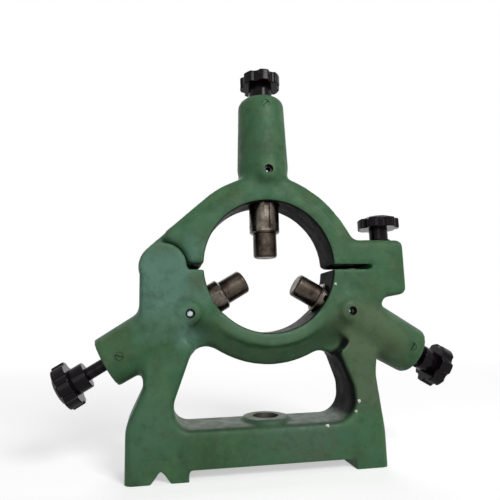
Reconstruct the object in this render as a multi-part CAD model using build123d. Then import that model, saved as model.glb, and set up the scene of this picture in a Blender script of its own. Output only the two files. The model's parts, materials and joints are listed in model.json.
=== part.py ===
from build123d import *
import math
import os

os.makedirs("parts", exist_ok=True)

# A steady rest for a centre lathe, drawn from the front: x to the right, y up
# from the ring centre, z towards the reader. Sizes are in millimetres.

# Stance and ring
centre_height = 198.5
ring_bore_radius = 68
ring_outer_radius = 99.5
cap_outer_radius = 96.5
ring_depth = 44
sole_depth = 58
quarter_turn = 90
half_turn = 180
full_turn = 360
overrun = 5
running_clearance = 0.05

# Jaw directions, anticlockwise from the right
jaw_angles = {"top": 90, "left": 210, "right": 330}

# Barrels
barrel_end_radius = 25
barrel_root_radius = 28
barrel_root_reach = 82
barrel_reach = {"top": 187, "left": 187, "right": 184}
barrel_end_round = {"top": 9, "left": 1.5, "right": 4}
end_wall = 8

# Quills and jaw tips
quill_diameter = 32
quill_length = 79
quill_end_round = 1.5
tip_diameter = 25
tip_length = 26
tip_shank_diameter = 16
tip_shank_length = 14
tip_edge_round = 3
tip_reach = {"top": 10, "left": 28, "right": 36}
tip_reach_least = 10
tip_reach_most = 60
tip_pin_diameter = 4
key_width = 6
key_depth = 3.5
key_start = 4

# Adjusting screws and star knobs
screw_diameter = 14
screw_neck_diameter = 12.5
screw_inner_reach = 104
screw_collar_diameter = 22
screw_collar_length = 5
neck_showing = {"top": 2, "left": 20, "right": 10}
hub_diameter = 26
hub_length = 14
knob_diameter = 45
knob_rim = 13
knob_dome = 4
knob_lobes = 7
knob_flute_radius = 6
knob_socket_length = 18
bush_inner_reach = 166

# Screws in the barrels
lock_reach = {"top": 100, "left": 95, "right": 95}
lock_boss_radius = 12
lock_boss_height = 29
lock_screw_diameter = 9
lock_socket_across = 5
lock_socket_depth = 5
lock_sink = 4
retaining_reach = {"top": 174, "left": 171, "right": 170}
retaining_diameter = 8
retaining_sink = 0.5
slot_width = 1.4
slot_depth = 2

# Hinge of the cap
hinge_x = -108
ear_radius = 23
tongue_radius = 24.5
shoulder_radius = 24
fork_radius = 27
tongue_thickness = 20
fork_gap = 20.8
shoulder_end_angle = 88
hinge_pin_diameter = 12
hinge_pin_cover = 5

# Clamping lug
lug_right = 149
lug_top = 28
lug_bottom = -30
lug_contact_left = 111
slot_floor = -4
slot_roof = 1.5
stud_x = 131
stud_diameter = 10
stud_hole_diameter = 12
stud_below_joint = 17
clamp_hub_diameter = 20
clamp_hub_length = 13
clamp_knob_diameter = 45
clamp_rim = 11
clamp_dome = 3.5
clamp_socket_length = 14
washer_diameter = 24
washer_thickness = 2

# Legs, beam and feet
cheek_left = -131
foot_left = -142
foot_right = 111
beam_top = -154
beam_bottom = -189
left_foot_inner = -84
right_foot_inner = 77
vee_centre = -109.5
vee_depth = 11
boss_x = -5
boss_radius = 24
boss_height = 4
bed_bolt_radius = 13
cast_round = 7
window_round = 7


def jaw(angle):
    """Frame whose Z runs outward along one jaw, with the front on its -X side."""
    return Rot(0, 0, angle) * Rot(0, quarter_turn, 0)


def rod(radius, start, end):
    """Round bar along Z between two heights."""
    return Pos(0, 0, start) * Cylinder(radius, end - start, align=(Align.CENTER, Align.CENTER, Align.MIN))


def disc(radius, thickness, x=0, y=0):
    """Flat disc that is centred on the plane of the ring."""
    return Pos(x, y, 0) * Cylinder(radius, thickness)


def block(left, right, low, high, thickness):
    """Plain block between two sides and two heights, centred on the plane of the ring."""
    middle = Pos((left + right) / 2, (low + high) / 2, 0)
    return middle * Box(right - left, high - low, thickness)


def rounded_face(corners):
    """Flat face through corners given as x, y and the radius of that corner."""
    face = make_face(Polyline(*[(x, y) for x, y, radius in corners], close=True))
    for x, y, radius in corners:
        if radius > 0:
            corner = face.vertices().sort_by_distance((x, y, 0))[0]
            face = fillet(corner, radius)
    return face


def soften(face, x, y, radius):
    """Round the corner of a flat face that lies nearest to a point."""
    corner = face.vertices().sort_by_distance((x, y, 0))[0]
    return fillet(corner, radius)


def cast(face, radius):
    """Thick plate of a casting whose front and back edges are rolled over."""
    plate = extrude(face, sole_depth / 2, both=True)
    waist = rounded_face([
        (-ring_depth / 2, 2 * centre_height, 0),
        (-ring_depth / 2, -70, 160),
        (-sole_depth / 2, -165, 160),
        (-sole_depth / 2, -2 * centre_height, 0),
        (sole_depth / 2, -2 * centre_height, 0),
        (sole_depth / 2, -165, 160),
        (ring_depth / 2, -70, 160),
        (ring_depth / 2, 2 * centre_height, 0),
    ])
    side = Plane(origin=(0, 0, 0), x_dir=(0, 0, 1), z_dir=(-1, 0, 0))
    plate = plate & extrude(side * waist, 2 * centre_height, both=True)
    rolled = plate.edges().filter_by(lambda edge: abs(edge.tangent_at(0.5).Z) < 0.5)
    return fillet(rolled, radius)


def turned(corners):
    """Solid of revolution about Z from corners given as radius, height and rounding."""
    return Rot(quarter_turn, 0, 0) * revolve(rounded_face(corners), Axis.Y)


def barrel(name):
    """Tapered barrel of the casting that guides one quill, swelling out of the ring."""
    body = turned([
        (0, barrel_root_reach, 0),
        (barrel_root_radius - 8, barrel_root_reach, 0),
        (barrel_root_radius, barrel_root_reach + 20, 30),
        (barrel_end_radius, barrel_reach[name], barrel_end_round[name]),
        (0, barrel_reach[name], 0),
    ])
    return jaw(jaw_angles[name]) * body


def upright(shape):
    """Stand the drawing up with its sole on height zero."""
    return Pos(0, 0, centre_height) * Rot(quarter_turn, 0, 0) * shape


def lower_plate():
    """Legs, beam, cheek and lower half of the ring as one rolled-over plate."""
    outer = rounded_face([
        (cheek_left, -50, 8),
        (-126, -116, 12),
        (foot_left, -150, 30),
        (foot_left, -centre_height - 3 * overrun, 0),
        (foot_right, -centre_height - 3 * overrun, 0),
        (foot_right, -165, 60),
        (107, -112, 10),
        (118, -44, 9),
        (124, -34, 8),
        (lug_right, lug_bottom, cast_round + 0.5),
        (lug_right, 2 * overrun, 0),
        (cheek_left, 2 * overrun, 0),
    ])
    window = rounded_face([
        (-68, -52, 0),
        (-98, -132, 18),
        (-95, beam_top, 16),
        (80, beam_top, 20),
        (79, -122, 20),
        (56, -60, 0),
    ])
    window = window - Circle(ring_outer_radius)
    on_ring = [
        (corner.X, corner.Y) for corner in window.vertices()
        if abs(math.hypot(corner.X, corner.Y) - ring_outer_radius) < 0.1
    ]
    for x, y in on_ring:
        window = soften(window, x, y, window_round)
    return cast(outer - window - Circle(ring_bore_radius - cast_round + 1), cast_round)


def bores(name):
    """Hole for one quill, with its neck hole and the two screw holes in front."""
    lock = lock_reach[name]
    holding = retaining_reach[name]
    end = barrel_reach[name] - end_wall
    hole = rod(quill_diameter / 2 + running_clearance, ring_bore_radius / 2, end)
    hole += rod(screw_neck_diameter / 2 + 0.5, end - overrun, barrel_reach[name] + overrun)
    front = Rot(0, -quarter_turn, 0)
    hole += Pos(0, 0, lock) * front * rod(lock_screw_diameter / 2 + running_clearance, 0, lock_boss_height + overrun)
    hole += Pos(0, 0, holding) * front * rod(retaining_diameter / 2 + running_clearance, 0, lock_boss_height)
    return jaw(jaw_angles[name]) * hole


def lock_boss(name):
    """Low round pad that carries the lock screw of one quill."""
    pad = rod(lock_boss_radius, 0, lock_boss_height)
    pad = fillet(pad.edges().sort_by(Axis.Z)[-1], 3)
    return jaw(jaw_angles[name]) * Pos(0, 0, lock_reach[name]) * Rot(0, -quarter_turn, 0) * pad


def ring_cut():
    """Machined bore of the ring with both of its edges broken."""
    cutter = disc(ring_bore_radius, sole_depth)
    flare = Cone(ring_bore_radius, ring_bore_radius + 2, 2, align=(Align.CENTER, Align.CENTER, Align.MIN))
    flare = Pos(0, 0, ring_depth / 2 - 1.5) * flare
    return cutter + flare + Rot(half_turn, 0, 0) * flare


def lower_frame():
    """Bed frame with two barrels, the hinge ears, the lower clamping lug and the sole."""
    body = lower_plate() + barrel("left") + barrel("right")
    body += lock_boss("left") + lock_boss("right")
    body -= block(2 * foot_left, 2 * foot_right, 0, centre_height, 2 * sole_depth)
    body -= block(-ring_outer_radius, lug_contact_left, slot_floor, overrun, 2 * sole_depth)
    body -= block(2 * foot_left, 2 * foot_right, -2 * centre_height, -centre_height, 2 * sole_depth)
    body += fillet(disc(ear_radius, ring_depth, hinge_x).edges().filter_by(GeomType.CIRCLE), 2)
    body -= disc(fork_radius, fork_gap, hinge_x)
    body -= Pos(hinge_x, 0, -ring_depth) * rod(
        hinge_pin_diameter / 2 + running_clearance, 0, ring_depth * 3 / 2 - hinge_pin_cover)
    body -= ring_cut() + bores("left") + bores("right")
    body -= Pos(stud_x, 0, 0) * Rot(-quarter_turn, 0, 0) * rod(
        stud_hole_diameter / 2, lug_bottom - overrun, overrun)
    underside = block(left_foot_inner, right_foot_inner, -2 * centre_height, beam_bottom, 2 * sole_depth)
    body -= underside
    vee = make_face(Polyline(
        (vee_centre, vee_depth - centre_height),
        (vee_centre - vee_depth - overrun, -overrun - centre_height),
        (vee_centre + vee_depth + overrun, -overrun - centre_height),
        close=True))
    body -= extrude(vee, sole_depth, both=True)
    boss = Pos(boss_x, beam_top + boss_height, 0) * Rot(quarter_turn, 0, 0) * rod(boss_radius, 0, 2 * boss_height)
    boss = fillet(boss.edges().sort_by(Axis.Y)[-1], 2)
    body += boss
    body -= Pos(boss_x, 0, 0) * Rot(-quarter_turn, 0, 0) * rod(
        bed_bolt_radius, -centre_height, beam_top + 2 * boss_height)
    return body


def cap_slope():
    """Ends of the straight left flank, which touches the ring and the tongue circles."""
    lean = math.acos((cap_outer_radius - tongue_radius) / -hinge_x)
    normal = (-math.cos(lean), math.sin(lean))
    on_ring = (cap_outer_radius * normal[0], cap_outer_radius * normal[1])
    on_tongue = (hinge_x + tongue_radius * normal[0], tongue_radius * normal[1])
    return on_ring, on_tongue


def upper_plate():
    """Upper half of the ring with its left arm and its lug as one rolled-over plate."""
    on_ring, on_tongue = cap_slope()
    arm = make_face(Polyline(on_ring, on_tongue, (hinge_x, 0), (-50, 0), (0, 50), close=True))
    lug = rounded_face([
        (70, -3 * overrun, 0),
        (lug_right, -3 * overrun, 0),
        (lug_right, lug_top, cast_round + 0.5),
        (70, lug_top, 0),
    ])
    outer = Circle(cap_outer_radius) + arm + lug
    outer = soften(outer, math.sqrt(cap_outer_radius ** 2 - lug_top ** 2), lug_top, 8)
    outer -= Pos(0, -cap_outer_radius - 3 * overrun) * Rectangle(4 * cap_outer_radius, 2 * cap_outer_radius)
    outer -= Pos(-cap_outer_radius, slot_roof - cap_outer_radius) * Rectangle(
        2 * cap_outer_radius, 2 * cap_outer_radius)
    outer -= Pos(hinge_x, 0) * Circle(shoulder_radius)
    end = math.radians(shoulder_end_angle)
    far = 3 * shoulder_radius
    outer -= make_face(Polyline(
        (hinge_x, 0),
        (hinge_x + far * math.cos(end), far * math.sin(end)),
        (hinge_x - far, far),
        (hinge_x - far, 0),
        close=True))
    outer -= Circle(ring_bore_radius - cast_round + 1)
    nose = hinge_x + math.sqrt(shoulder_radius ** 2 - slot_roof ** 2)
    outer = soften(outer, nose, slot_roof, cast_round + 0.3)
    outer = soften(outer, -ring_bore_radius, slot_roof, cast_round + 0.4)
    outer = soften(outer, hinge_x + shoulder_radius * math.cos(end), shoulder_radius * math.sin(end), cast_round + 0.3)
    outer = soften(outer, hinge_x, 1.5 * shoulder_radius, 7)
    return cast(outer, cast_round)


def upper_frame():
    """Swinging cap with the top barrel, the hinge tongue and the upper clamping lug."""
    body = upper_plate() + barrel("top") + lock_boss("top")
    body -= block(0, 2 * foot_right, -centre_height, 0, 2 * sole_depth)
    body -= block(0, lug_contact_left, -overrun, slot_roof, 2 * sole_depth)
    on_ring, on_tongue = cap_slope()
    tongue = Pos(hinge_x, 0) * Circle(tongue_radius)
    tongue += make_face(Polyline(on_tongue, on_ring, (-75, 2 * overrun), (hinge_x, 0), close=True))
    body += extrude(tongue, tongue_thickness / 2, both=True)
    body -= disc(hinge_pin_diameter / 2 + running_clearance, ring_depth, hinge_x)
    body -= ring_cut() + bores("top")
    body -= Pos(stud_x, 0, 0) * Rot(-quarter_turn, 0, 0) * rod(
        stud_diameter / 2 + running_clearance, -overrun, lug_top + overrun)
    return body


def hinge_pin():
    """Plain pin that is driven in from the back of the ears."""
    pin = rod(hinge_pin_diameter / 2, -ring_depth / 2, ring_depth / 2 - hinge_pin_cover - 0.3)
    return Pos(hinge_x, 0, 0) * chamfer(pin.edges().sort_by(Axis.Z)[-1], 1)


def star_knob(diameter, rim, dome, hub, hub_height, socket, stem):
    """Moulded star knob on a round hub, standing on height zero along Z."""
    star = Circle(diameter / 2)
    for lobe in range(knob_lobes):
        flute = Pos(diameter / 2 + knob_flute_radius * 0.55, 0) * Circle(knob_flute_radius)
        star -= Rot(0, 0, full_turn * lobe / knob_lobes) * flute
    star = fillet(star.vertices(), 1.5)
    head = Pos(0, 0, hub_height) * extrude(star, rim)
    head = fillet(head.edges().group_by(Axis.Z)[-1], 2)
    head = fillet(head.edges().group_by(Axis.Z)[0], 1)
    crown_radius = diameter / 2 - knob_flute_radius / 2 - 1
    crown = turned([
        (0, hub_height + rim - 1, 0),
        (crown_radius, hub_height + rim - 1, 0),
        (crown_radius * 0.8, hub_height + rim + dome * 0.65, 6),
        (crown_radius * 0.4, hub_height + rim + dome, 8),
        (0, hub_height + rim + dome, 0),
    ])
    stalk = turned([
        (0, 0, 0),
        (hub / 2, 0, 1),
        (hub / 2, hub_height + 1, 0),
        (0, hub_height + 1, 0),
    ])
    return head + crown + stalk - rod(stem / 2 + 0.02, -overrun, socket)


def quill(name):
    """Hollow sliding sleeve with its keyway towards the front."""
    start = tip_reach[name] + tip_length
    end = start + quill_length
    body = rod(quill_diameter / 2, start, end)
    body = chamfer(body.edges().sort_by(Axis.Z)[0], quill_end_round)
    body = chamfer(body.edges().sort_by(Axis.Z)[-1], 1)
    body -= rod(tip_shank_diameter / 2 + 0.02, start - overrun, start + tip_shank_length)
    body -= rod(screw_diameter / 2, start + tip_shank_length + 3, end + overrun)
    key = Box(key_depth + overrun, key_width, quill_length, align=(Align.MAX, Align.CENTER, Align.MIN))
    body -= Pos(key_depth - quill_diameter / 2, 0, start + key_start) * key
    body -= pin_bar(name, quill_diameter, tip_pin_diameter / 2 + 0.02)
    return jaw(jaw_angles[name]) * body


def pin_bar(name, length, radius):
    """Cross bar through the shank of one jaw tip, across the jaw."""
    height = tip_reach[name] + tip_length + tip_shank_length / 2
    return Pos(0, 0, height) * Rot(quarter_turn, 0, 0) * Cylinder(radius, length)


def jaw_tip(name):
    """Wearing tip with a rounded work end and a shank that sits in the quill."""
    start = tip_reach[name]
    body = turned([
        (0, start, 0),
        (tip_diameter / 2, start, tip_edge_round),
        (tip_diameter / 2, start + tip_length - 0.02, 0.5),
        (tip_shank_diameter / 2, start + tip_length - 0.02, 0),
        (tip_shank_diameter / 2, start + tip_length + tip_shank_length - 0.5, 0.5),
        (0, start + tip_length + tip_shank_length - 0.5, 0),
    ])
    body -= pin_bar(name, quill_diameter, tip_pin_diameter / 2 + 0.02)
    return jaw(jaw_angles[name]) * body


def tip_pin(name):
    """Small pin that holds the jaw tip in its quill."""
    return jaw(jaw_angles[name]) * pin_bar(name, quill_diameter - 2.5, tip_pin_diameter / 2)


def adjusting_screw(name):
    """Screw that turns on the spot and draws the quill along its thread."""
    collar_end = barrel_reach[name] - end_wall - running_clearance
    collar_start = collar_end - screw_collar_length
    neck_end = barrel_reach[name] + neck_showing[name] + knob_socket_length - 0.5
    thread = screw_diameter / 2 - running_clearance
    body = chamfer(rod(thread, screw_inner_reach, collar_end).edges().sort_by(Axis.Z)[0], 1)
    body += rod(screw_collar_diameter / 2, collar_start, collar_end)
    body += rod(screw_neck_diameter / 2, collar_end - 1, neck_end)
    return jaw(jaw_angles[name]) * body


def knob(name):
    """Star knob on the neck of one adjusting screw."""
    body = star_knob(knob_diameter, knob_rim, knob_dome, hub_diameter, hub_length,
                     knob_socket_length, screw_neck_diameter)
    return jaw(jaw_angles[name]) * Pos(0, 0, barrel_reach[name] + neck_showing[name]) * body


def end_bush(name):
    """Bush that traps the collar of the adjusting screw against the end of the barrel."""
    end = barrel_reach[name] - end_wall
    body = rod(quill_diameter / 2, bush_inner_reach, end)
    body -= rod(screw_diameter / 2, bush_inner_reach - overrun, end + overrun)
    body -= rod(screw_collar_diameter / 2 + running_clearance, end - screw_collar_length - 0.1, end + overrun)
    dimple = Pos(0, 0, retaining_reach[name]) * Rot(0, -quarter_turn, 0)
    body -= dimple * rod(retaining_diameter / 3 + 0.1, quill_diameter / 2 - 2, quill_diameter)
    return jaw(jaw_angles[name]) * body


def retaining_screw(name):
    """Slotted grub screw whose dog point holds the end bush."""
    end = barrel_reach[name]
    taper = (barrel_root_radius - barrel_end_radius) / (end - barrel_root_reach - 20)
    skin = barrel_end_radius + taper * (end - retaining_reach[name])
    top = skin - retaining_sink
    body = rod(retaining_diameter / 2, quill_diameter / 2 + 0.1, top)
    body = chamfer(body.edges().sort_by(Axis.Z)[-1], 0.5)
    body += rod(retaining_diameter / 3, quill_diameter / 2 - 1.9, top / 1.2)
    slot = Box(2 * retaining_diameter, slot_width, slot_depth * 2)
    body -= Pos(0, 0, top) * Rot(0, 0, full_turn / 8) * slot
    return jaw(jaw_angles[name]) * Pos(0, 0, retaining_reach[name]) * Rot(0, -quarter_turn, 0) * body


def lock_screw(name):
    """Socket screw whose dog point runs in the keyway and clamps the quill."""
    top = lock_boss_height - lock_sink
    body = rod(lock_screw_diameter / 2, quill_diameter / 2 + 0.3, top)
    body = chamfer(body.edges().sort_by(Axis.Z)[-1], 0.6)
    body += rod(key_width / 2 - 0.35, quill_diameter / 2 - key_depth + 0.3, top / 1.2)
    socket = extrude(RegularPolygon(lock_socket_across / math.sqrt(3), 6), lock_socket_depth + overrun)
    body -= Pos(0, 0, top - lock_socket_depth) * socket
    return jaw(jaw_angles[name]) * Pos(0, 0, lock_reach[name]) * Rot(0, -quarter_turn, 0) * body


def above_lug(height):
    """Frame whose Z runs upwards from a height above the upper lug."""
    return Pos(stud_x, lug_top + height, 0) * Rot(-quarter_turn, 0, 0)


def clamp_washer():
    """Washer between the clamping knob and the upper lug."""
    washer = rod(washer_diameter / 2, 0, washer_thickness)
    washer -= rod(stud_diameter / 2 + running_clearance, -overrun, washer_thickness + overrun)
    return above_lug(0) * washer


def clamp_stud():
    """Screw of the clamping knob, down through both lugs."""
    low = -stud_below_joint - lug_top
    high = washer_thickness + clamp_socket_length - 0.5
    stud = rod(stud_diameter / 2, low, high)
    return above_lug(0) * chamfer(stud.edges().sort_by(Axis.Z)[0], 1.5)


def clamp_knob():
    """Star knob that clamps the cap to the bed frame."""
    body = star_knob(clamp_knob_diameter, clamp_rim, clamp_dome, clamp_hub_diameter, clamp_hub_length,
                     clamp_socket_length, stud_diameter)
    return above_lug(washer_thickness) * body


pieces = {
    "lower_frame": lower_frame(),
    "upper_frame": upper_frame(),
    "hinge_pin": hinge_pin(),
    "clamp_washer": clamp_washer(),
    "clamp_stud": clamp_stud(),
    "clamp_knob": clamp_knob(),
}
for name in jaw_angles:
    pieces[name + "_quill"] = quill(name)
    pieces[name + "_jaw_tip"] = jaw_tip(name)
    pieces[name + "_tip_pin"] = tip_pin(name)
    pieces[name + "_adjusting_screw"] = adjusting_screw(name)
    pieces[name + "_knob"] = knob(name)
    pieces[name + "_end_bush"] = end_bush(name)
    pieces[name + "_retaining_screw"] = retaining_screw(name)
    pieces[name + "_lock_screw"] = lock_screw(name)

left_end = min(piece.bounding_box().min.X for piece in pieces.values())
right_end = max(piece.bounding_box().max.X for piece in pieces.values())
over_origin = Pos(-(left_end + right_end) / 2, 0, 0)
print("ring centre stands", round(-(left_end + right_end) / 2, 3), "right of the origin")

for node, piece in pieces.items():
    export_step(over_origin * upright(piece), "parts/" + node + ".step")
    print(node, len(piece.solids()), round(piece.volume))
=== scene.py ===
# %% [markdown]
# A steady rest holds a long bar on a lathe while it turns. Two green castings make a
# ring with a foot; three quills slide in their barrels and guide the bar. The exact
# pieces come from the CAD frame, and this lesson gives them the soft shapes and the
# finishes that a drawing leaves out.

# %% Load the exact pieces
import json
import math
import bpy
import numpy
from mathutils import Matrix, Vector


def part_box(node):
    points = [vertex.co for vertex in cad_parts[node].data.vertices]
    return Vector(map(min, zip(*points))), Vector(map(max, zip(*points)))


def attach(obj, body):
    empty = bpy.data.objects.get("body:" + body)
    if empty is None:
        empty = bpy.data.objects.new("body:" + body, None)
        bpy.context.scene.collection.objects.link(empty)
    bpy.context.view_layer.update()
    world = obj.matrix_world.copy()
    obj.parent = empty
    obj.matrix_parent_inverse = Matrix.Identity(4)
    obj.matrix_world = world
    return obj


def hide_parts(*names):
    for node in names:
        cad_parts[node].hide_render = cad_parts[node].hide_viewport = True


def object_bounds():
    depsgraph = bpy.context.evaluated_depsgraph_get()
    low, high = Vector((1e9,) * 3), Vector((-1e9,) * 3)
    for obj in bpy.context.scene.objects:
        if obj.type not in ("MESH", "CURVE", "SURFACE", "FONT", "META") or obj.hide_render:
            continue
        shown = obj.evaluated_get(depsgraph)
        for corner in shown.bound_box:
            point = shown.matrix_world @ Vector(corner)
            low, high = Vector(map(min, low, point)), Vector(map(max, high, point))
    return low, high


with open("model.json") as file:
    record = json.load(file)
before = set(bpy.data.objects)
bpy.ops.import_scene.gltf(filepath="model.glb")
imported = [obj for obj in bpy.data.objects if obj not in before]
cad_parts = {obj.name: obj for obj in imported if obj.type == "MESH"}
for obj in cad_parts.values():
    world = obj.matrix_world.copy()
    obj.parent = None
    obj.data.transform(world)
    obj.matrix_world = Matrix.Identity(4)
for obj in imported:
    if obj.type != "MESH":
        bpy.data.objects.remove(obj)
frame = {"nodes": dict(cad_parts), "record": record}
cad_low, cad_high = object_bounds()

nodes = frame["nodes"]
mounts = {mount["name"]: mount for mount in frame["record"]["mounts"]}
ring_centre = Vector(mounts["work_centre"]["pos_m"])
millimetre = 0.001
merge_distance = millimetre / 1000
jaw_names = ("top", "left", "right")
print("pieces:", len(nodes), "ring centre:", [round(value, 4) for value in ring_centre])

# %% [markdown]
# An operator works on everything that is selected, and the loaded pieces come in
# selected. So each step first selects only the object that it is about.


# %% Select one object
def only(obj):
    """Select one object and make it the active one."""
    bpy.ops.object.select_all(action="DESELECT")
    obj.select_set(True)
    bpy.context.view_layer.objects.active = obj
    return obj


def finish_modifier(obj, kind, **settings):
    """Add one modifier, set it and apply it."""
    only(obj)
    modifier = obj.modifiers.new(kind.lower(), kind)
    for key, value in settings.items():
        setattr(modifier, key, value)
    bpy.ops.object.modifier_apply(modifier=modifier.name)


def own_copy(node, name):
    """A joined-up copy of one CAD piece with a mesh of its own."""
    copy = bpy.data.objects.new(name, nodes[node].data.copy())
    bpy.context.scene.collection.objects.link(copy)
    only(copy)
    bpy.ops.object.mode_set(mode="EDIT")
    bpy.ops.mesh.select_all(action="SELECT")
    bpy.ops.mesh.remove_doubles(threshold=merge_distance)
    bpy.ops.object.mode_set(mode="OBJECT")
    return copy


# %% [markdown]
# A round tool is a cylinder between two points. It serves twice: before the casting
# is smoothed, fat ones plug the holes, and afterwards thin ones drill them again.
# That is how the real casting is made too, which comes solid from the foundry.

# %% Round tools
tool_sides = 96
upwards = Vector((0, 0, 1))
to_back = Vector((0, 1, 0))


def round_tool(start, end, radius):
    """Cylinder from one point to another."""
    start, end = Vector(start), Vector(end)
    turn = (end - start).to_track_quat("Z", "Y").to_euler()
    bpy.ops.mesh.primitive_cylinder_add(
        vertices=tool_sides, radius=radius, depth=(end - start).length,
        location=(start + end) / 2, rotation=turn)
    return bpy.context.object


def block_tool(low, high):
    """Box between two corners."""
    low, high = Vector(low), Vector(high)
    bpy.ops.mesh.primitive_cube_add(size=1, location=(low + high) / 2, scale=high - low)
    return bpy.context.object


def screw_hole(node, play):
    """Start, end and radius of the hole in front for one screw, from the screw's box."""
    low, high = [Vector(corner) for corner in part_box(node)]
    middle = (low + high) / 2
    radius = (high.x - low.x) / 2 + play
    return Vector((middle.x, low.y, middle.z)), Vector((middle.x, high.y, middle.z)), radius


def jaw_direction(name):
    """Unit vector outwards along one jaw, from its quill's box and the ring centre."""
    low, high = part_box(name + "_quill")
    return ((Vector(low) + Vector(high)) / 2 - ring_centre).normalized()


# %% [markdown]
# A sand casting has no sharp inner corners: iron doesn't flow into them, and the
# pattern maker fills them with wax. A voxel remesh turns the exact shape into an even
# skin. Then the skin is smoothed again and again, and each time only the points that
# move outwards keep their move. So iron is added in the inner corners, and the round
# barrels lose nothing.

# %% Even skin and wax corners
skin_step = 1.6 * millimetre
machining_stock = 3 * millimetre
plug_margin = 0.8 * millimetre
passes_each = 5
smooth_factor = 0.5
level_within = 0.1 * millimetre
nearly_upright = 0.99
barrel_rounds = 22
general_rounds = 3
ease_passes = 3
barrel_from = 70 * millimetre
barrel_to = 172 * millimetre
zone_radius = 52 * millimetre
zone_fade = 12 * millimetre
hinge_keep_radius = 31 * millimetre
hinge_keep_depth = 17 * millimetre
ease_fade = 4 * millimetre
ring_ease_from = 73 * millimetre
ring_ease_to = 112 * millimetre
split_keep = 8 * millimetre
ring_ease_passes = 18
boss_ease_radius = 18 * millimetre
boss_ease_depth = 18 * millimetre
boss_ease_passes = {"top": 45, "left": 8, "right": 8}
soft_radius = 17 * millimetre
soft_fade = 7 * millimetre
soft_passes = 60


def points_of(skin):
    """Places of all points of a mesh, one row each."""
    points = numpy.empty(len(skin.data.vertices) * 3, "f")
    skin.data.vertices.foreach_get("co", points)
    return points.reshape(-1, 3)


def normals_of(skin):
    """Directions of the skin at all points of a mesh, one row each."""
    normals = numpy.empty(len(skin.data.vertices) * 3, "f")
    skin.data.vertex_normals.foreach_get("vector", normals)
    return normals.reshape(-1, 3)


def place_points(skin, points):
    """Put all points of a mesh at new places."""
    skin.data.vertices.foreach_set("co", points.astype("f").ravel())
    skin.data.update()


def fill_corners(skin, share, rounds):
    """Smooth a skin, and keep only the share of each move that adds iron."""
    for turn in range(rounds):
        before = points_of(skin)
        outwards = normals_of(skin)
        finish_modifier(skin, "SMOOTH", factor=smooth_factor, iterations=passes_each)
        moved = points_of(skin) - before
        adds = (moved * outwards).sum(axis=1) > 0
        place_points(skin, before + moved * (share * adds)[:, None])


def away_from_hinge(points):
    """One for the points outside the fork and the tongue of the hinge, or zero."""
    pin_low, pin_high = [Vector(corner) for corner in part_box("hinge_pin")]
    pin = (pin_low + pin_high) / 2
    away = numpy.hypot(points[:, 0] - pin.x, points[:, 2] - pin.z)
    kept = (away < hinge_keep_radius) & (numpy.abs(points[:, 1]) < hinge_keep_depth)
    return 1.0 - kept


def near_barrel(points, name):
    """Share from zero to one that says how near each point is to the root of a barrel."""
    along = numpy.array(jaw_direction(name))
    offset = points - numpy.array(ring_centre)
    reach = offset @ along
    away = numpy.linalg.norm(offset - reach[:, None] * along, axis=1)
    ends = numpy.minimum(reach - barrel_from, barrel_to - reach) / zone_fade
    sides = (zone_radius - away) / zone_fade
    return numpy.clip(numpy.minimum(ends, sides), 0, 1)


def add_stock(skin, height, facing):
    """Lengthen the casting below or above one machined plane, as the foundry does."""
    only(skin)
    bpy.ops.object.mode_set(mode="EDIT")
    bpy.ops.mesh.select_mode(type="FACE")
    bpy.ops.mesh.select_all(action="DESELECT")
    bpy.ops.object.mode_set(mode="OBJECT")
    for face in skin.data.polygons:
        level = abs(face.center.z - height) < level_within
        level = level and face.normal.z * facing > nearly_upright
        face.select = level and (height < millimetre or face.center.x > ring_centre.x)
    bpy.ops.object.mode_set(mode="EDIT")
    bpy.ops.transform.translate(value=(0, 0, facing * machining_stock))
    bpy.ops.object.mode_set(mode="OBJECT")


def ease_zone(skin, share, passes):
    """Smooth one zone of a skin, outer edges too, by a share for each point."""
    before = points_of(skin)
    finish_modifier(skin, "SMOOTH", factor=smooth_factor, iterations=passes)
    place_points(skin, before + (points_of(skin) - before) * share[:, None])


def near_ring(points):
    """Share that picks the rolled edges of the ring, away from its split."""
    offset = points - numpy.array(ring_centre)
    reach = numpy.hypot(offset[:, 0], offset[:, 2])
    inner = (reach - ring_ease_from) / ease_fade
    outer = (ring_ease_to - reach) / ease_fade
    split = (numpy.abs(offset[:, 2]) - split_keep) / ease_fade
    return numpy.clip(numpy.minimum(numpy.minimum(inner, outer), split), 0, 1)


def near_lock_boss(points, name):
    """Share that picks the pad round one lock screw."""
    start, end, radius = screw_hole(name + "_lock_screw", 0)
    away = numpy.hypot(points[:, 0] - start.x, points[:, 2] - start.z)
    front = (points[:, 1] < ring_centre.y - boss_ease_depth)
    return numpy.clip((boss_ease_radius - away) / ease_fade, 0, 1) * front


def near_places(points, places):
    """Share that picks small balls round a list of places."""
    away = [numpy.linalg.norm(points - numpy.array(place), axis=1) for place in places]
    return numpy.clip((soft_radius - numpy.min(away, axis=0)) / soft_fade, 0, 1)


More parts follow.
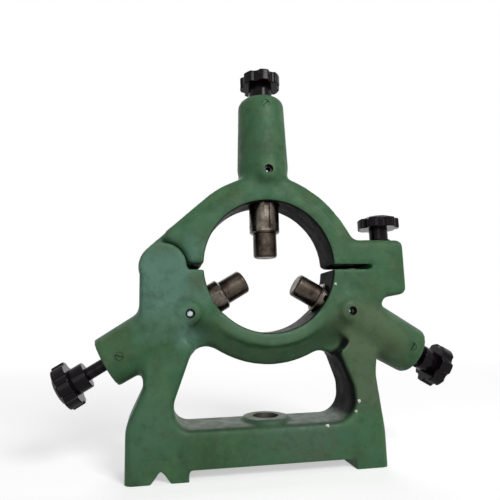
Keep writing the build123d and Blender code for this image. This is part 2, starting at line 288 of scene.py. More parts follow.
def cast_skin(node, barrels, plugs, planes, fillers, rim_tools, soft_places):
    """Even skin of one casting with filled inner corners, before it is machined."""
    skin = own_copy(node, node + "_casting")
    for height, facing in planes:
        add_stock(skin, height, facing)
    tools = [round_tool(start, end, radius + plug_margin) for start, end, radius in plugs]
    only(skin)
    for tool in tools + fillers:
        tool.select_set(True)
    bpy.ops.object.join()
    finish_modifier(skin, "REMESH", mode="VOXEL", voxel_size=skin_step)
    carve(skin, rim_tools)
    skin.data.materials.clear()
    skin.data.materials.append(enamel)
    points = points_of(skin)
    free = away_from_hinge(points)
    near = numpy.max([near_barrel(points, name) for name in barrels], axis=0)
    ease_zone(skin, near_places(points, soft_places), soft_passes)
    fill_corners(skin, free * near, barrel_rounds)
    fill_corners(skin, free, general_rounds)
    points = points_of(skin)
    ease_zone(skin, away_from_hinge(points) * near_ring(points), ring_ease_passes)
    for name in barrels:
        ease_zone(skin, near_lock_boss(points_of(skin), name), boss_ease_passes[name])
    finish_modifier(skin, "SMOOTH", factor=smooth_factor, iterations=ease_passes)
    return skin


# %% [markdown]
# Seen from the front, the ring has a flat band next to its bore, and outside the band
# it falls back to a thinner rim. The hollows that this leaves lie in front and behind:
# one pair on the bed frame and two pairs on the cap. Curved tools cut them. Such a tool
# is a four-sided profile that is spun about the ring, and it runs in slowly at its ends.
# On the cap it then runs on straight, along the arm that reaches for the hinge.

# %% Curved tools for the thinner rim
band_radius = 83 * millimetre
tool_radius = 112 * millimetre
band_top_radius = 79.5 * millimetre
band_foot_depth = 16.5 * millimetre
rim_depth = 7.5 * millimetre
tool_depth = 24 * millimetre
spin_steps = 60
left_leg = ((-65.4, -45), (-98, -132))
right_leg = ((53, -52), (79, -122))
leg_sector = (212, 326)
barrel_half_angle = 16
arm_touch_angle = 119
arm_run = 80 * millimetre
run_in = 14
least_cut = 0.02
lug_end_angle = 20


def on_ring(radius, angle, depth):
    """Point at a distance and a direction from the ring's axis, and a depth."""
    turn = math.radians(angle)
    return ring_centre + Vector((radius * math.cos(turn), depth, radius * math.sin(turn)))


def rim_tool(start, end, side, straight=0):
    """Spun profile between two angles, in front for side -1 and behind for side 1."""
    bpy.ops.mesh.primitive_plane_add(size=1)
    tool = bpy.context.object
    profile = ((band_radius, band_foot_depth), (tool_radius, rim_depth),
               (band_top_radius, tool_depth), (tool_radius, tool_depth))
    for vertex, (radius, depth) in zip(tool.data.vertices, profile):
        vertex.co = on_ring(radius, start, side * depth)
    only(tool)
    tool.location = (0, 0, 0)
    bpy.ops.object.mode_set(mode="EDIT")
    bpy.ops.mesh.select_all(action="SELECT")
    turn = math.radians(end - start)
    ahead = math.radians(end) + math.copysign(math.pi / 2, turn)
    bpy.ops.mesh.spin(steps=spin_steps, angle=turn, center=ring_centre, axis=(0, 1, 0))
    if straight:
        run = Vector((math.cos(ahead), 0, math.sin(ahead))) * straight
        bpy.ops.mesh.extrude_region_move(TRANSFORM_OT_translate={"value": run})
    bpy.ops.mesh.select_all(action="SELECT")
    bpy.ops.mesh.remove_doubles(threshold=merge_distance)
    bpy.ops.mesh.normals_make_consistent(inside=False)
    bpy.ops.object.mode_set(mode="OBJECT")
    ends = (start,) if straight else (start, end)
    for vertex in tool.data.vertices:
        place = vertex.co - ring_centre
        around = math.degrees(math.atan2(place.z, place.x)) % 360
        run = min(abs(around - edge) for edge in ends) / run_in
        cut = min(1, max(least_cut, run)) * (tool_depth - abs(place.y))
        vertex.co.y = side * (tool_depth - cut)
    return tool


def trim_tool(tool, corners, keep):
    """Cut a tool off along the line of a leg, and keep the side of the window."""
    (x, z), (low_x, low_z) = corners
    only(tool)
    bpy.ops.object.mode_set(mode="EDIT")
    bpy.ops.mesh.select_all(action="SELECT")
    across = Vector((low_z - z, 0, x - low_x)) * keep
    bpy.ops.mesh.bisect(plane_co=ring_centre + Vector((x, 0, z)) * millimetre,
                        plane_no=across, use_fill=True, clear_outer=True)
    bpy.ops.object.mode_set(mode="OBJECT")


def window_rim_tools():
    """Tools for the rim above the window, cut off at both legs."""
    tools = []
    for side in (-1, 1):
        tool = rim_tool(*leg_sector, side)
        trim_tool(tool, left_leg, 1)
        trim_tool(tool, right_leg, -1)
        tools.append(tool)
    return tools


def cap_rim_tools():
    """Tools for the rim of the cap, on both sides of its barrel."""
    upright = 90
    tools = []
    for side in (-1, 1):
        tools.append(rim_tool(upright + barrel_half_angle, arm_touch_angle, side, arm_run))
        tools.append(rim_tool(upright - barrel_half_angle, lug_end_angle, side))
    return tools


# %% [markdown]
# Both window corners under the ring hold more iron than a plain rounding. A filler
# stands in each, a prism between the old corner and a rounder arc. The cap also gets a
# lip behind each side of its split, so that no daylight shows through.

# %% Fillers for the window corners and the split
window_top_radius = 99.5 * millimetre
corner_radius = {"left": 19 * millimetre, "right": 19 * millimetre}
filler_depth = 15 * millimetre
filler_bite = 1 * millimetre
arc_steps = 10
split_lips = (((-81, 5, -1), (-70.5, 18, 6)), ((70.5, 5, -1), (107, 18, 6)))


def flat(x, z):
    """Point in the middle plane, from millimetres beside and above the ring's axis."""
    return Vector((x, 0, z)) * millimetre


def along_until(start, along, reach):
    """How far to go from a point in one direction to be at a distance from the axis."""
    middle = start.dot(along)
    return -middle + math.sqrt(middle ** 2 - start.length_squared + reach ** 2)


def corner_filler(leg, keep, radius):
    """Prism that rounds the window corner between the ring and one leg."""
    first, last = flat(*leg[0]), flat(*leg[1])
    along = (last - first).normalized()
    inwards = Vector((along.z, 0, -along.x)) * -keep
    corner = first + along * along_until(first, along, window_top_radius)
    start = first + inwards * radius
    centre = start + along * along_until(start, along, window_top_radius + radius)
    to_ring = -centre.normalized()
    turns = [step / arc_steps for step in range(arc_steps + 1)]
    places = [centre + to_ring.slerp(-inwards, turn) * radius for turn in turns]
    places[0] += to_ring * filler_bite
    places[-1] -= inwards * filler_bite
    bpy.ops.mesh.primitive_circle_add(vertices=arc_steps + 2, fill_type="NGON")
    filler = bpy.context.object
    deep = Vector((0, filler_depth, 0))
    for vertex, place in zip(filler.data.vertices, [corner - inwards * filler_bite] + places):
        vertex.co = ring_centre + place - deep
    bpy.ops.object.mode_set(mode="EDIT")
    bpy.ops.mesh.select_all(action="SELECT")
    bpy.ops.mesh.extrude_region_move(TRANSFORM_OT_translate={"value": deep * 2})
    bpy.ops.mesh.select_all(action="SELECT")
    bpy.ops.mesh.normals_make_consistent(inside=False)
    bpy.ops.object.mode_set(mode="OBJECT")
    return filler


def split_fillers():
    """Lips behind both sides of the cap's split."""
    return [block_tool(*(ring_centre + Vector(corner) * millimetre for corner in lip))
            for lip in split_lips]


def carve(skin, tools):
    """Cut the tools out of a skin and make the skin even again."""
    for tool in tools:
        finish_modifier(skin, "BOOLEAN", operation="DIFFERENCE", solver="MANIFOLD", object=tool)
        bpy.data.objects.remove(tool)
    finish_modifier(skin, "REMESH", mode="VOXEL", voxel_size=skin_step)


# %% [markdown]
# Paint is thin on outer edges, and the inner corners get painted shade. One
# number for each point says which it is: the skin is smoothed on a copy, and a point
# that moves inwards lies on an edge, while one that moves outwards lies in a corner.

# %% Edges and corners as an attribute
relief_passes = 12
relief_scale = 0.6 * millimetre


def store_relief(skin):
    """Write the attribute relief: below zero on edges, above zero in corners."""
    before = points_of(skin)
    outwards = normals_of(skin)
    finish_modifier(skin, "SMOOTH", factor=smooth_factor, iterations=relief_passes)
    moved = points_of(skin) - before
    place_points(skin, before)
    relief = numpy.clip((moved * outwards).sum(axis=1) / relief_scale, -1, 1)
    attribute = skin.data.attributes.new("relief", "FLOAT", "POINT")
    attribute.data.foreach_set("value", relief.astype("f"))
    lowest, highest = float(relief.min()), float(relief.max())
    print(skin.name, "relief from", round(lowest, 2), "to", round(highest, 2))


# %% [markdown]
# The machined faces are cut last and stay bare: bores for the quills, holes for the
# screws, the contact face of the lug, the sole and its vee. Each cut is a Boolean
# with the Manifold solver, which is quick on closed meshes. The faces that a tool
# leaves behind take the material of the tool.

# %% Machine a casting
smooth_up_to = math.radians(38)


def machine(skin, tools, bare):
    """Cut every tool out of a casting and smooth its shading."""
    for tool in tools:
        tool.data.materials.append(bare)
        finish_modifier(skin, "BOOLEAN", operation="DIFFERENCE", solver="MANIFOLD", object=tool)
        bpy.data.objects.remove(tool)
    only(skin)
    bpy.ops.object.shade_smooth_by_angle(angle=smooth_up_to)


# %% [markdown]
# A finish is a small tree of shader nodes. These helpers keep each tree short to
# write: one starts a material, one adds a noise, one maps a value to a range.


# %% Helpers for finishes
def rgb(red, green, blue):
    """Colour as a screen shows it, from 0 to 255, as the linear values of a shader."""
    def linear(value):
        value /= 255
        return value / 12.92 if value <= 0.04045 else ((value + 0.055) / 1.055) ** 2.4
    return (linear(red), linear(green), linear(blue), 1)


class Finish:
    """A material with its Principled shader and short ways to add nodes."""

    def __init__(self, name, roughness, metallic=0.0):
        self.material = bpy.data.materials.new(name)
        self.material.use_nodes = True
        self.tree = self.material.node_tree
        self.shader = self.tree.nodes["Principled BSDF"]
        self.shader.inputs["Roughness"].default_value = roughness
        self.shader.inputs["Metallic"].default_value = metallic
        self.place = self.add("ShaderNodeTexCoord").outputs["Object"]

    def add(self, kind, **values):
        node = self.tree.nodes.new(kind)
        for key, value in values.items():
            if hasattr(node, key):
                setattr(node, key, value)
            else:
                self.put(value, node.inputs[key.replace("_", " ")])
        return node

    def put(self, value, socket):
        """Link a socket, or set a plain value."""
        if isinstance(value, bpy.types.NodeSocket):
            self.tree.links.new(value, socket)
        else:
            socket.default_value = value

    def noise(self, scale, detail=3.0, rough=0.55, place=None):
        node = self.add("ShaderNodeTexNoise", Scale=scale, Detail=detail, Roughness=rough)
        self.put(place or self.place, node.inputs["Vector"])
        return node.outputs["Fac"]

    def streaks(self, scale, stretch, detail=3.0):
        """Noise that is drawn out along the axes with a small stretch."""
        mapping = self.add("ShaderNodeMapping", Scale=stretch)
        self.put(self.place, mapping.inputs["Vector"])
        return self.noise(scale, detail, 0.6, mapping.outputs["Vector"])

    def spread(self, value, low, high, out_low=0.0, out_high=1.0):
        node = self.add("ShaderNodeMapRange")
        self.put(value, node.inputs["Value"])
        names = ("From Min", "From Max", "To Min", "To Max")
        for socket, number in zip(names, (low, high, out_low, out_high)):
            self.put(number, node.inputs[socket])
        return node.outputs["Result"]

    def maths(self, operation, first, second):
        node = self.add("ShaderNodeMath", operation=operation)
        self.put(first, node.inputs[0])
        self.put(second, node.inputs[1])
        return node.outputs[0]

    def mix(self, factor, first, second):
        node = self.add("ShaderNodeMix", data_type="RGBA")
        self.put(factor, node.inputs[0])
        self.put(first, node.inputs[6])
        self.put(second, node.inputs[7])
        return node.outputs[2]

    def bump(self, height, strength, distance, under=None):
        node = self.add("ShaderNodeBump", Strength=strength, Distance=distance)
        self.put(height, node.inputs["Height"])
        if under is not None:
            self.put(under, node.inputs["Normal"])
        return node.outputs["Normal"]

    def colour(self, value):
        self.put(value, self.shader.inputs["Base Color"])

    def gloss(self, value):
        self.put(value, self.shader.inputs["Roughness"])

    def normal(self, value):
        self.put(value, self.shader.inputs["Normal"])


# %% [markdown]
# The castings wear green machine enamel, brushed on thick. It is never one colour:
# broad patches are bluer or browner, oily hands darken it, and the sand underneath
# shows as slow waves and a fine orange peel. The attribute relief makes the outer
# edges paler and paints shade into the corners. A few chips show the pale filler below,
# each a small ball round a place that is measured from the ring centre.

# %% Paint chips
chips = [
    ((68.5, -22, -19.5), 1.3),
    ((84.5, -26, -136), 1.6),
    ((80, -28, -145), 1.9),
    ((50, -27, -157), 1.7),
    ((28, -26, -152), 1.0),
    ((78, -22, -131), 0.9),
]


def chip_mask(paint):
    """One inside the paint chips, zero outside, with ragged rims."""
    ragged = paint.noise(700, 3, 0.6)
    total = None
    for (x, y, z), size in chips:
        place = ring_centre + Vector((x, y, z)) * millimetre
        node = paint.add("ShaderNodeVectorMath", operation="DISTANCE")
        paint.put(paint.place, node.inputs[0])
        paint.put(place, node.inputs[1])
        rim = paint.spread(ragged, 0.3, 0.7, 0.4 * size * millimetre, 1.5 * size * millimetre)
        mask = paint.maths("LESS_THAN", node.outputs["Value"], rim)
        total = mask if total is None else paint.maths("MAXIMUM", total, mask)
    return total


# %% [markdown]
# Broad tints lie where the paint is bluer or browner. The two pale bluish patches on the
# left cheek and leg are partly bluer paint and partly a painted highlight. The ring's bore,
# its split and the right inner side of the window carry painted shade, and the bore oil
# as well. The low part of the ring has a painted highlight on its band and painted shade
# on the flank below it, and the top of the beam has painted shade. Each of these places
# is measured from the ring's axis, so it stays on its surface.

# %% Tints, painted highlights and shade, and oil
tints_and_highlights = [
    # The first two are pale and bluish: partly bluer paint, partly a painted highlight.
    ((-108, -20, -15), 62, rgb(90, 130, 112)),
    ((-88, -20, -64), 34, rgb(94, 132, 114)),
    ((-122, -20, -155), 48, rgb(70, 108, 80)),
    ((100, -20, -75), 50, rgb(84, 106, 76)),
    ((90, -20, -120), 34, rgb(80, 102, 74)),
    ((30, -20, -175), 60, rgb(76, 106, 84)),
]
bore_radius = 68 * millimetre
bore_dark_fade = 0.6 * millimetre
split_middle = -1.5 * millimetre
split_half = 3.6 * millimetre
split_end = 108 * millimetre
split_from = -80 * millimetre
split_depth = 18 * millimetre
window_low = -152 * millimetre
window_fade = -52 * millimetre
window_high = -76 * millimetre
window_middle = 30 * millimetre
beam_shade_below = -125 * millimetre
lit_and_shaded_from = -44 * millimetre
lit_and_shaded_to = -60 * millimetre
lit_band_inner = 76 * millimetre
lit_band_edge = 82 * millimetre
shaded_flank_inner = 88 * millimetre
shaded_flank_edge = 98 * millimetre
shaded_flank_outer = 104 * millimetre
window_right = 84 * millimetre


def from_ring_axis(paint):
    """Distance of each point from the axis of the ring."""
    flat_place = paint.add("ShaderNodeVectorMath", operation="MULTIPLY")
    paint.put(paint.place, flat_place.inputs[0])
    paint.put((1, 0, 1), flat_place.inputs[1])
    away = paint.add("ShaderNodeVectorMath", operation="DISTANCE")
    paint.put(flat_place.outputs["Vector"], away.inputs[0])
    paint.put((ring_centre.x, 0, ring_centre.z), away.inputs[1])
    return away.outputs["Value"]


def apart(paint):
    """The place of each point as three separate numbers."""
    node = paint.add("ShaderNodeSeparateXYZ")
    paint.put(paint.place, node.inputs[0])
    return node.outputs


def facing(paint):
    """The direction of the surface as three separate numbers."""
    node = paint.add("ShaderNodeSeparateXYZ")
    paint.put(paint.add("ShaderNodeNewGeometry").outputs["Normal"], node.inputs[0])
    return node.outputs


def painted_shade_and_oil(paint, away):
    """One where shade is painted: the ring's bore, with oil there too, its split and the window's
    inner side.
    """
    bore = paint.spread(away, bore_radius + 2 * bore_dark_fade, bore_radius + bore_dark_fade)
    place = apart(paint)
    height = place["Z"]
    split = paint.maths("SUBTRACT", height, ring_centre.z + split_middle)
    split = paint.maths("LESS_THAN", paint.maths("ABSOLUTE", split, 0), split_half)
    split = paint.maths("MULTIPLY", split, paint.maths("LESS_THAN", away, split_end))
    deep = paint.maths("ABSOLUTE", place["Y"], 0)
    split = paint.maths("MULTIPLY", split, paint.maths("LESS_THAN", deep, split_depth))
    split = paint.maths("MULTIPLY", split, paint.maths("GREATER_THAN", place["X"], split_from))
    # Painted shade on the window's right inner side, which faces left, away from the key lamp.
    inside = paint.spread(facing(paint)["X"], -0.35, -0.75)
    below = paint.spread(height, ring_centre.z + window_fade, ring_centre.z + window_high)
    inside = paint.maths("MULTIPLY", inside, below)
    for value, limit, operation in (
            (height, ring_centre.z + window_low, "GREATER_THAN"),
            (place["X"], ring_centre.x + window_middle, "GREATER_THAN"),
            (place["X"], ring_centre.x + window_right, "LESS_THAN")):
        inside = paint.maths("MULTIPLY", inside, paint.maths(operation, value, limit))
    return paint.maths("MAXIMUM", paint.maths("MAXIMUM", bore, split), inside)


def patch(paint, place, size, ragged):
    """Large soft patch round one place, with an uneven rim."""
    node = paint.add("ShaderNodeVectorMath", operation="DISTANCE")
    paint.put(paint.place, node.inputs[0])
    paint.put(ring_centre + Vector(place) * millimetre, node.inputs[1])
    reach = paint.maths("ADD", node.outputs["Value"], ragged)
    return paint.spread(reach, size * millimetre, 0.35 * size * millimetre)


# %% Green enamel
def make_enamel():
    """Green paint with patches, worn edges and chips, and painted highlights and shade."""
    paint = Finish("green_enamel", 0.42)
    relief = paint.add("ShaderNodeAttribute", attribute_name="relief").outputs["Fac"]
    patches = paint.spread(paint.noise(13, 3), 0.40, 0.62)
    clouds = paint.spread(paint.noise(42, 4, 0.6), 0.42, 0.70)
    body = paint.mix(patches, rgb(56, 88, 56), rgb(60, 104, 72))
    body = paint.mix(clouds, body, rgb(74, 112, 76))
    uneven = paint.spread(paint.noise(22, 4, 0.6), 0.3, 0.7, -0.018, 0.018)
    for place, size, patch_colour in tints_and_highlights:
        body = paint.mix(patch(paint, place, size, uneven), body, patch_colour)
    brown = paint.spread(paint.noise(30, 5, 0.65), 0.52, 0.76, 0.0, 0.65)
    body = paint.mix(brown, body, rgb(80, 86, 56))
    dull = paint.spread(paint.noise(75, 5, 0.7), 0.50, 0.72, 0.0, 0.55)
    body = paint.mix(dull, body, rgb(46, 68, 48))
    ragged = paint.spread(paint.noise(95, 5, 0.7), 0.3, 0.7, -0.25, 0.25)
    edge = paint.spread(paint.maths("ADD", relief, ragged), -0.30, -0.80, 0.0, 0.40)
    body = paint.mix(edge, body, rgb(94, 126, 100))
    # Painted shade: the inner corners are darker, where shade falls.
    corner = paint.spread(paint.maths("ADD", relief, ragged), 0.10, 0.6, 0.0, 0.7)
    body = paint.mix(corner, body, rgb(28, 42, 32))
    specks = paint.spread(paint.noise(420, 3, 0.6), 0.66, 0.75, 0.0, 0.6)
    body = paint.mix(specks, body, rgb(44, 52, 38))
    away = from_ring_axis(paint)
    # Painted light and shade on the low part of the ring: a painted highlight on the band, and
    # painted shade (the mask under) on the flank below it, which slopes down.
    low = paint.spread(apart(paint)["Z"], ring_centre.z + lit_and_shaded_from, ring_centre.z + lit_and_shaded_to)
    painted_band_light = paint.maths("MULTIPLY", low, paint.spread(away, lit_band_edge, lit_band_inner, 0.0, 0.5))
    body = paint.mix(painted_band_light, body, rgb(92, 124, 96))
    under = paint.maths("MULTIPLY", low, paint.spread(away, lit_band_edge, shaded_flank_inner, 0.0, 0.5))
    under = paint.maths("MULTIPLY", under, paint.spread(away, shaded_flank_outer, shaded_flank_edge))
    body = paint.mix(under, body, rgb(32, 48, 34))
    # Painted shade on the top of the beam, where the ring above keeps the light off.
    beam_top_shade = paint.spread(facing(paint)["Z"], 0.5, 0.95, 0.0, 0.7)
    beam = paint.maths("LESS_THAN", apart(paint)["Z"], ring_centre.z + beam_shade_below)
    body = paint.mix(paint.maths("MULTIPLY", beam_top_shade, beam), body, rgb(38, 50, 38))
    shade_and_oil = painted_shade_and_oil(paint, away)
    # Painted shade, near black green; on the bore it stands for oil as well.
    body = paint.mix(shade_and_oil, body, rgb(30, 33, 31))
    chipped = chip_mask(paint)
    paint.colour(paint.mix(chipped, body, rgb(226, 226, 216)))
    paint.gloss(paint.spread(paint.noise(90, 5, 0.65), 0.3, 0.7, 0.40, 0.64))
    waves = paint.bump(paint.noise(26, 2, 0.4), 0.7, 0.005)
    peel = paint.bump(paint.noise(240, 4, 0.6), 0.35, 0.0007, waves)
    paint.normal(paint.bump(chipped, 0.5, -0.0003, peel))
    paint.put(paint.spread(shade_and_oil, 0, 1, 0.22, 0.03), paint.shader.inputs["Specular IOR Level"])
    return paint.material


enamel = make_enamel()
print("paint chips:", len(chips))

# %% [markdown]
# The steel is oily and has been handled: a brown film lies in clouds on it, and
# lathe marks run round the turned pieces. They are too fine to draw one by one, so a
# noise that is squeezed across the marks stands for them.


# %% Steel, iron and bare machined faces
def make_steel(name, light, dark, roughness, rust=0.5):
    """Handled steel with a brown film and rust spots."""
    steel = Finish(name, roughness, 1.0)
    film = steel.spread(steel.noise(70, 5, 0.6), 0.38, 0.64)
    tone = steel.mix(film, light, dark)
    spots = steel.spread(steel.noise(230, 4, 0.6), 0.58, 0.72, 0.0, rust)
    steel.colour(steel.mix(spots, tone, rgb(52, 38, 28)))
    steel.gloss(steel.spread(steel.noise(130, 4), 0.3, 0.7, roughness - 0.08, roughness + 0.16))
    marks = steel.bump(steel.streaks(400, (0.3, 0.3, 3)), 0.10, 0.0002)
    steel.normal(steel.bump(steel.noise(900, 2), 0.12, 0.0002, marks))
    return steel.material


def make_bare_iron():
    """Machined casting: dull grey, with tool marks and a little brown."""
    iron = Finish("bare_iron", 0.45, 0.85)
    cloud = iron.spread(iron.noise(60, 4, 0.6), 0.35, 0.7)
    tone = iron.mix(cloud, rgb(118, 112, 104), rgb(72, 66, 60))
    oil = iron.spread(iron.noise(140, 4, 0.7), 0.55, 0.75, 0.0, 0.7)
    iron.colour(iron.mix(oil, tone, rgb(42, 34, 26)))
    iron.gloss(iron.spread(iron.noise(120, 3), 0.3, 0.7, 0.35, 0.6))
    iron.normal(iron.bump(iron.streaks(500, (4, 0.4, 0.4)), 0.2, 0.0002))
    return iron.material


def make_plastic():
    """Black moulded plastic of the star knobs, a little dusty."""
    plastic = Finish("black_phenolic", 0.2)
    dust = plastic.spread(plastic.noise(110, 5, 0.7), 0.52, 0.8, 0.0, 0.45)
    plastic.colour(plastic.mix(dust, rgb(18, 12, 17), rgb(40, 32, 38)))
    plastic.gloss(plastic.spread(plastic.noise(160, 4), 0.3, 0.7, 0.09, 0.24))
    plastic.normal(plastic.bump(plastic.noise(60, 3), 0.3, 0.0012))
    plastic.shader.inputs["Specular IOR Level"].default_value = 0.10
    return plastic.material


def make_lock_steel():
    """Black screw with a painted glint at the bottom of its socket."""
    steel = Finish("socket_glint_steel", 0.3, 1.0)
    glint = None
    for name in jaw_names:
        low, high = [Vector(corner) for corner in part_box(name + "_lock_screw")]
        floor = Vector(((low.x + high.x) / 2, low.y + socket_floor, (low.z + high.z) / 2))
        node = steel.add("ShaderNodeVectorMath", operation="DISTANCE")
        steel.put(steel.place, node.inputs[0])
        steel.put(floor, node.inputs[1])
        near = steel.maths("LESS_THAN", node.outputs["Value"], glint_radius[name])
        glint = near if glint is None else steel.maths("MAXIMUM", glint, near)
    dirt = steel.spread(steel.noise(600, 4, 0.6), 0.35, 0.65, 0.55, 1.0)
    shine = steel.maths("MULTIPLY", glint, dirt)
    # Painted glint: bright bluish white at the bottom of each socket.
    steel.colour(steel.mix(shine, rgb(34, 33, 34), rgb(205, 212, 218)))
    steel.normal(steel.bump(steel.noise(900, 2), 0.15, 0.0002))
    return steel.material


# Sizes of the painted glint in each socket.
socket_floor = 5 * millimetre
glint_radius = {"top": 0.9 * millimetre, "left": 3.2 * millimetre, "right": 1.9 * millimetre}
lock_steel = make_lock_steel()
oily_steel = make_steel("oily_steel", rgb(108, 101, 93), rgb(56, 50, 44), 0.26)
oily_iron = make_steel("oily_iron", rgb(82, 74, 66), rgb(44, 37, 32), 0.34, 0.7)
black_steel = make_steel("black_steel", rgb(34, 32, 34), rgb(18, 17, 18), 0.34, 0.2)
bright_steel = make_steel("bright_steel", rgb(182, 178, 170), rgb(132, 126, 116), 0.24, 0.2)
bare_iron = make_bare_iron()
phenolic = make_plastic()

# %% [markdown]
# Now both castings are made. The plugs and the drills come from the boxes of the
# screws and quills that sit in the holes, so each hole fits its screw.

# %% Both castings
drill_overrun = 12 * millimetre
screw_play = 0.06 * millimetre
quill_play = 0.06 * millimetre
quill_drill_from = 45 * millimetre
quill_drill_to = 110 * millimetre
work_space = 0.5 * millimetre
soft_depth = 14 * millimetre
window_ends = ((78, 217), (93, 218), (97, 223), (98, 229),
               (78, 322), (86, 319), (94, 317), (98, 311))
cap_ends = ((97, 72), (97, 108), (97, 22))
bare_from_stud = 34 * millimetre


def front_plugs(node, screws):
    """Fill for the holes of the lock screws and retaining screws of one casting."""
    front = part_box(node)[0].y
    plugs = []
    for name in screws:
        for kind in ("_lock_screw", "_retaining_screw"):
            start, end, radius = screw_hole(name + kind, screw_play)
            start.y = front if kind == "_lock_screw" else start.y - work_space
            plugs.append((start, end, radius))
    return plugs


def front_drills(names):
    """Drills for the same holes, from in front of the casting into the quill bore."""
    drills = []
    for name in names:
        for kind in ("_lock_screw", "_retaining_screw"):
            start, end, radius = screw_hole(name + kind, screw_play)
            drills.append(round_tool(start - to_back * drill_overrun, end, radius))
    return drills


def quill_drill(name):
    """Drill for the mouth of one quill bore in the ring."""
    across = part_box(name + "_quill")[1].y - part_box(name + "_quill")[0].y
    along = jaw_direction(name)
    return round_tool(ring_centre + along * quill_drill_from, ring_centre + along * quill_drill_to,
                      across / 2 + quill_play)


def soft_ends(ends):
    """Places in front and behind, where the end of a curved tool is smoothed away."""
    return [on_ring(radius * millimetre, angle, side * soft_depth)
            for radius, angle in ends for side in (-1, 1)]


def make_bed_casting():
    """Bed frame: cast skin, then bores, sole and contact face."""
    bolt = mounts["bed_bolt_hole"]
    radius = bolt["dims"]["r_mm"] * millimetre
    low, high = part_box("lower_frame")
    hole_top = Vector(bolt["pos_m"])
    hole_foot = hole_top - upwards * bolt["dims"]["length_mm"] * millimetre
    plugs = front_plugs("lower_frame", ("left", "right"))
    plugs.append((hole_foot, hole_top, radius))
    skin = cast_skin("lower_frame", ("left", "right"), plugs,
                     [(low.z, -1), (ring_centre.z, 1)],
                     [corner_filler(left_leg, 1, corner_radius["left"]),
                      corner_filler(right_leg, -1, corner_radius["right"])],
                     window_rim_tools(), soft_ends(window_ends))
    store_relief(skin)
    stud = (Vector(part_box("clamp_stud")[0]) + Vector(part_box("clamp_stud")[1])) / 2
    tools = [
        block_tool((low.x - 1, low.y - 1, low.z - 1), (high.x + 1, high.y + 1, 0)),
        block_tool((stud.x - bare_from_stud, low.y - 1, ring_centre.z),
                   (high.x + 1, high.y + 1, 1)),
        round_tool(hole_foot - upwards * drill_overrun,
                   hole_top + upwards * drill_overrun, radius),
    ]
    tools += front_drills(("left", "right")) + [quill_drill("left"), quill_drill("right")]
    machine(skin, tools, bare_iron)
    return skin


def make_cap_casting():
    """Swinging cap: cast skin, then bore, holes and contact face."""
    low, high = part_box("upper_frame")
    skin = cast_skin("upper_frame", ("top",), front_plugs("upper_frame", ("top",)),
                     [(ring_centre.z, -1)], split_fillers(), cap_rim_tools(),
                     soft_ends(cap_ends))
    store_relief(skin)
    stud = (Vector(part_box("clamp_stud")[0]) + Vector(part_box("clamp_stud")[1])) / 2
    tools = [block_tool((stud.x - bare_from_stud, low.y - 1, 0),
                        (high.x + 1, high.y + 1, ring_centre.z))]
    tools += front_drills(("top",)) + [quill_drill("top")]
    machine(skin, tools, bare_iron)
    return skin


castings = {"bed_frame": make_bed_casting(), "cap": make_cap_casting()}
for (body, casting), node in zip(castings.items(), ("lower_frame", "upper_frame")):
    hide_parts(node)
    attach(casting, body)
    print(casting.name, [material.name for material in casting.data.materials],
          len(casting.data.polygons), "faces")

# %% [markdown]
# The other pieces keep their exact CAD meshes and only get a finish. The record says
# which slot each one has. The lock screws have a finish of their own, with a painted
# glint at the bottom of each socket.

# %% Finishes of the other pieces
finishes = {
    "frame_paint": enamel,
    "quill_steel": oily_steel,
    "tip_iron": oily_iron,
    "knob_black": phenolic,
    "screw_black": black_steel,
    "bush_steel": bright_steel,
}
for part in frame["record"]["subparts"]:
    node = nodes[part["node"]]
    for place in node.material_slots:
        place.material = finishes[part["material_slot"]]
    if part["node"].endswith("_lock_screw"):
        node.material_slots[0].material = lock_steel
print("finishes:", sorted(finishes))

# %% [markdown]
# The retaining screws were painted over with the castings, and each stopped turning
# with its slot in another direction. A copy of each takes the place of the CAD piece,
# turned about its own axis.

# %% Painted retaining screws
slot_turns = {"top": 90, "left": 90, "right": 40}
for name, turn in slot_turns.items():
    node = name + "_retaining_screw"
    screw = own_copy(node, node + "_painted")
    low, high = [Vector(corner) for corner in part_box(node)]
    only(screw)
    bpy.ops.object.mode_set(mode="EDIT")
    bpy.ops.mesh.select_all(action="SELECT")
    bpy.ops.transform.rotate(value=math.radians(turn), orient_axis="Y",
                             center_override=(low + high) / 2)
    bpy.ops.object.mode_set(mode="OBJECT")
    screw.data.materials.clear()
    screw.data.materials.append(enamel)
    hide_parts(node)
    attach(screw, "cap" if name == "top" else "bed_frame")
    print(screw.name, "turned by", turn, "degrees")

# %% [markdown]
# The floor and the backdrop are white for the camera, for mirrors and for glass, and
# the lamps are large and soft. So the enamel renders at about its own colour, and
# the floor still keeps the shadow.

# %% Floor, world and lamps
floor_half = 6.0
floor_glow = 0.5
ambient = 0.16
shadow_reach = (0.45, 1.3)


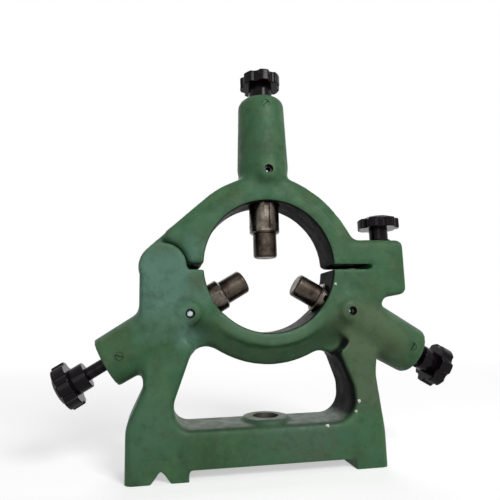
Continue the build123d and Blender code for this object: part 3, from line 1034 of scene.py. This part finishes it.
def make_floor():
    """White paper: it catches the shadow near the object, and fades to pure white."""
    bpy.ops.mesh.primitive_plane_add(size=2 * floor_half, location=(0, 0, cad_low[2]))
    floor = bpy.context.object
    floor.name = "studio_floor"
    paper = Finish("studio_paper", 0.9)
    paper.colour(rgb(150, 150, 150))
    links = paper.tree.links
    ray = paper.add("ShaderNodeLightPath")
    card = paper.add("ShaderNodeBsdfDiffuse", Color=(0.9, 0.9, 0.9, 1))
    glow = paper.add("ShaderNodeEmission", Strength=floor_glow)
    white = paper.add("ShaderNodeEmission", Strength=1)
    both = paper.add("ShaderNodeAddShader")
    fade = paper.add("ShaderNodeMixShader")
    pick = paper.add("ShaderNodeMixShader")
    away = paper.add("ShaderNodeVectorMath", operation="LENGTH")
    paper.put(paper.place, away.inputs[0])
    links.new(paper.spread(away.outputs["Value"], *shadow_reach), fade.inputs[0])
    links.new(card.outputs[0], both.inputs[0])
    links.new(glow.outputs[0], both.inputs[1])
    links.new(both.outputs[0], fade.inputs[1])
    links.new(white.outputs[0], fade.inputs[2])
    seen = paper.maths("MAXIMUM", ray.outputs["Is Camera Ray"], ray.outputs["Is Glossy Ray"])
    seen = paper.maths("MAXIMUM", seen, ray.outputs["Is Transmission Ray"])
    links.new(seen, pick.inputs[0])
    links.new(paper.shader.outputs[0], pick.inputs[1])
    links.new(fade.outputs[0], pick.inputs[2])
    links.new(pick.outputs[0], paper.tree.nodes["Material Output"].inputs["Surface"])
    floor.data.materials.append(paper.material)


make_floor()


def make_world():
    """White for the camera and for mirrors, and dim light for the rest."""
    world = bpy.data.worlds.new("studio_air")
    bpy.context.scene.world = world
    world.use_nodes = True
    tree = world.node_tree
    tree.nodes.clear()
    ray = tree.nodes.new("ShaderNodeLightPath")
    white = tree.nodes.new("ShaderNodeBackground")
    white.inputs["Color"].default_value = (1, 1, 1, 1)
    white.inputs["Strength"].default_value = 1
    air = tree.nodes.new("ShaderNodeBackground")
    air.inputs["Strength"].default_value = ambient
    mirrored = tree.nodes.new("ShaderNodeMath")
    mirrored.operation = "MAXIMUM"
    seen = tree.nodes.new("ShaderNodeMath")
    seen.operation = "MAXIMUM"
    pick = tree.nodes.new("ShaderNodeMixShader")
    output = tree.nodes.new("ShaderNodeOutputWorld")
    tree.links.new(ray.outputs["Is Camera Ray"], mirrored.inputs[0])
    tree.links.new(ray.outputs["Is Glossy Ray"], mirrored.inputs[1])
    tree.links.new(mirrored.outputs[0], seen.inputs[0])
    tree.links.new(ray.outputs["Is Transmission Ray"], seen.inputs[1])
    tree.links.new(seen.outputs[0], pick.inputs[0])
    tree.links.new(air.outputs[0], pick.inputs[1])
    tree.links.new(white.outputs[0], pick.inputs[2])
    tree.links.new(pick.outputs[0], output.inputs[0])


make_world()


def lamp(name, place, size, power):
    """Large square lamp that looks at the middle of the object."""
    bpy.ops.object.light_add(type="AREA", location=place)
    light = bpy.context.object
    light.name = name
    light.data.size = size
    light.data.energy = power
    aim = ring_centre - Vector(place)
    light.rotation_euler = aim.to_track_quat("-Z", "Y").to_euler()


lamp("key_lamp", (0.45, -1.2, 0.95), 0.5, 12)
lamp("fill_lamp", (-0.5, -1.4, 0.3), 0.8, 4)
lamp("back_lamp", (0.3, 1.3, 1.2), 1.2, 8)

# %% [markdown]
# The camera stands where the photographer stood: half a metre in front, a little to
# the left and below the ring centre, looking slightly up and to the right.

# %% Camera
camera_offset = Vector((-0.1146, -0.4627, -0.0545))
camera_turn = (98.868, 1.119, -9.214)
lens_length = 32.37
sensor_width = 36
picture_shift = 0.0402
nearest_seen = 0.01
bpy.ops.object.camera_add(location=ring_centre + camera_offset)
camera = bpy.context.object
camera.rotation_euler = [math.radians(turn) for turn in camera_turn]
camera.data.lens = lens_length
camera.data.sensor_width = sensor_width
camera.data.shift_x = picture_shift
camera.data.clip_start = nearest_seen
bpy.context.scene.camera = camera
bpy.context.scene.view_settings.view_transform = "Standard"
